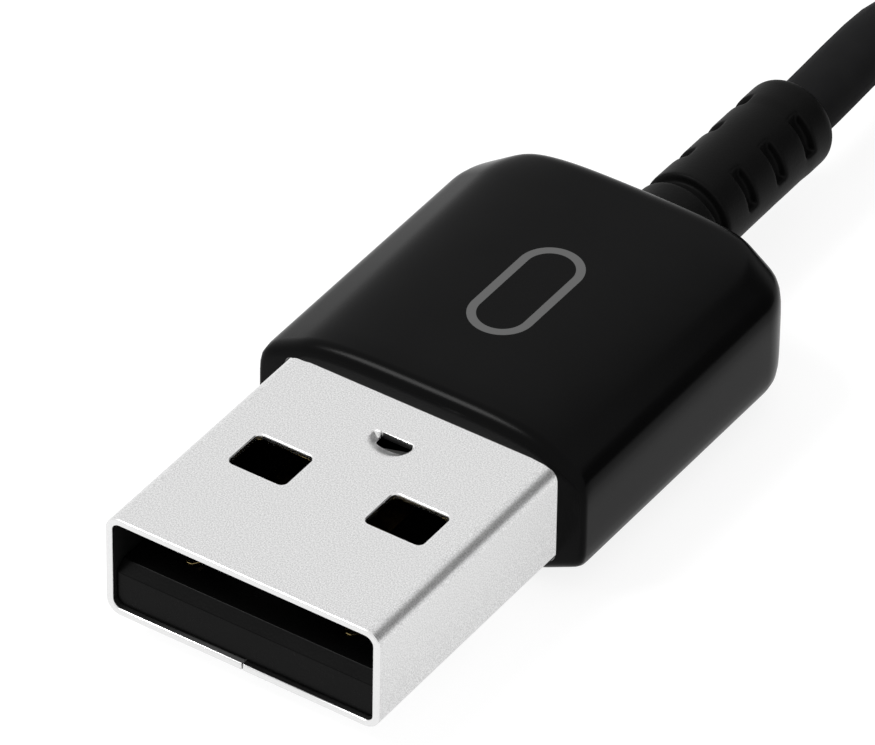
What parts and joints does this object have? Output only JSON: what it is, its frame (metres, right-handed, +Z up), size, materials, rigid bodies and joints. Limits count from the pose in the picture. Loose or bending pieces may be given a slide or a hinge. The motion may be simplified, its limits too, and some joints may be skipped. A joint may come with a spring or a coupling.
{
  "type": "usb-a plug",
  "caption": "Slim USB-A plug with a satin metal shell, a black moulded housing and a slotted strain relief, on a thin black lead bundled behind it.",
  "frame": {"origin": "under the middle of the plug, on the surface that it lies on", "axes": "+Y from the mouth back along the lead, +X across the plug's width, +Z up, square to the wide faces"},
  "size_m": [0.0242, 0.1116, 0.0158],
  "materials": {
    "shell_metal": "satin",
    "insulator_plastic": "matte",
    "contact_gold": "bright",
    "solder_tin": "bright",
    "core_red": "matte",
    "core_white": "matte",
    "core_green": "matte",
    "core_black": "matte",
    "braid_copper": "satin",
    "housing_plastic": "semi-gloss",
    "relief_rubber": "matte",
    "jacket_plastic": "matte"
  },
  "bodies": {
    "root": {"shell": "shell_metal", "insulator": "insulator_plastic", "contact_vbus": "contact_gold", "contact_d_minus": "contact_gold", "contact_d_plus": "contact_gold", "contact_ground": "contact_gold", "solder_vbus": "solder_tin", "solder_d_minus": "solder_tin", "solder_d_plus": "solder_tin", "solder_ground": "solder_tin", "core_vbus": "core_red", "core_d_minus": "core_white", "core_d_plus": "core_green", "core_ground": "core_black", "rear_shield": "shell_metal", "braid": "braid_copper", "jacket_end": "jacket_plastic", "housing": "housing_plastic", "strain_relief": "relief_rubber", "lead_run": "jacket_plastic", "lead_bundle": "jacket_plastic", "bundle_tie": "relief_rubber", "end_nose": "shell_metal", "end_insert": "insulator_plastic", "end_housing": "housing_plastic", "end_relief": "relief_rubber"}
  },
  "joints": []
}
